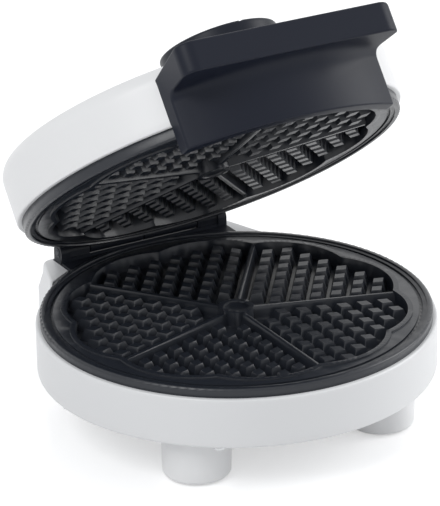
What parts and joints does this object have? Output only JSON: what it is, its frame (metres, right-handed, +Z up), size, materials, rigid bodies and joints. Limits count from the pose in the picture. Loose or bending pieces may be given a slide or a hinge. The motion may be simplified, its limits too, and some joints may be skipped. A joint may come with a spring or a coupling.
{
  "type": "heart waffle maker",
  "caption": "Round hinged electric waffle iron for a ring of joined hearts, resting open on four feet, with a wrap-round handle and a heat dial on its lid.",
  "frame": {"origin": "middle of the object's box, on the table the feet stand on", "axes": "+Z up, -Y towards the handle side where the user stands, +X to the user's right"},
  "size_m": [0.2346, 0.2588, 0.2598],
  "materials": {
    "base_housing": "satin",
    "bottom_cover": "satin",
    "feet": "satin",
    "foot_pads": "matt",
    "foot_screws": "plain",
    "bottom_screws": "plain",
    "lower_plate": "dark non-stick coating",
    "lower_heat_shield": "plain",
    "lower_heating_element": "plain",
    "lower_plate_screws": "plain",
    "terminal_block": "matt",
    "cord_gland": "satin",
    "base_hinge_bracket": "satin black",
    "hinge_pin": "plain",
    "pin_clips": "plain",
    "lid_housing": "satin",
    "upper_plate": "dark non-stick coating",
    "upper_heat_shield": "plain",
    "upper_heating_element": "plain",
    "upper_plate_screws": "plain",
    "lid_hinge_bracket": "satin black",
    "handle": "satin",
    "handle_screws": "plain",
    "dial_scale_ring": "satin",
    "thermostat": "plain",
    "pilot_lamp_red": "clear",
    "pilot_lamp_green": "clear",
    "thermostat_dial": "satin",
    "thermostat_shaft": "plain"
  },
  "bodies": {
    "base": {"base_housing": "base_housing", "bottom_cover": "bottom_cover", "feet": "feet", "foot_pads": "foot_pads", "foot_screws": "foot_screws", "bottom_screws": "bottom_screws", "lower_plate": "lower_plate", "lower_heat_shield": "lower_heat_shield", "lower_heating_element": "lower_heating_element", "lower_plate_screws": "lower_plate_screws", "terminal_block": "terminal_block", "cord_gland": "cord_gland", "base_hinge_bracket": "base_hinge_bracket", "hinge_pin": "hinge_pin", "pin_clips": "pin_clips"},
    "lid": {"lid_housing": "lid_housing", "upper_plate": "upper_plate", "upper_heat_shield": "upper_heat_shield", "upper_heating_element": "upper_heating_element", "upper_plate_screws": "upper_plate_screws", "lid_hinge_bracket": "lid_hinge_bracket", "handle": "handle", "handle_screws": "handle_screws", "dial_scale_ring": "dial_scale_ring", "thermostat": "thermostat", "pilot_lamp_red": "pilot_lamp_red", "pilot_lamp_green": "pilot_lamp_green"},
    "dial": {"thermostat_dial": "thermostat_dial", "thermostat_shaft": "thermostat_shaft"}
  },
  "joints": [
    {"name": "lid_hinge", "type": "hinge", "parent": "base", "child": "lid", "pos_m": [0, 0.10357, 0.071], "axis": [-1, 0, 0], "range_deg": [-38.4, 53.6]},
    {"name": "dial_turn", "type": "hinge", "parent": "lid", "child": "dial", "pos_m": [0, -0.00282, 0.21529], "axis": [0, 0.6211, 0.7837], "range_deg": [-135, 135]}
  ]
}
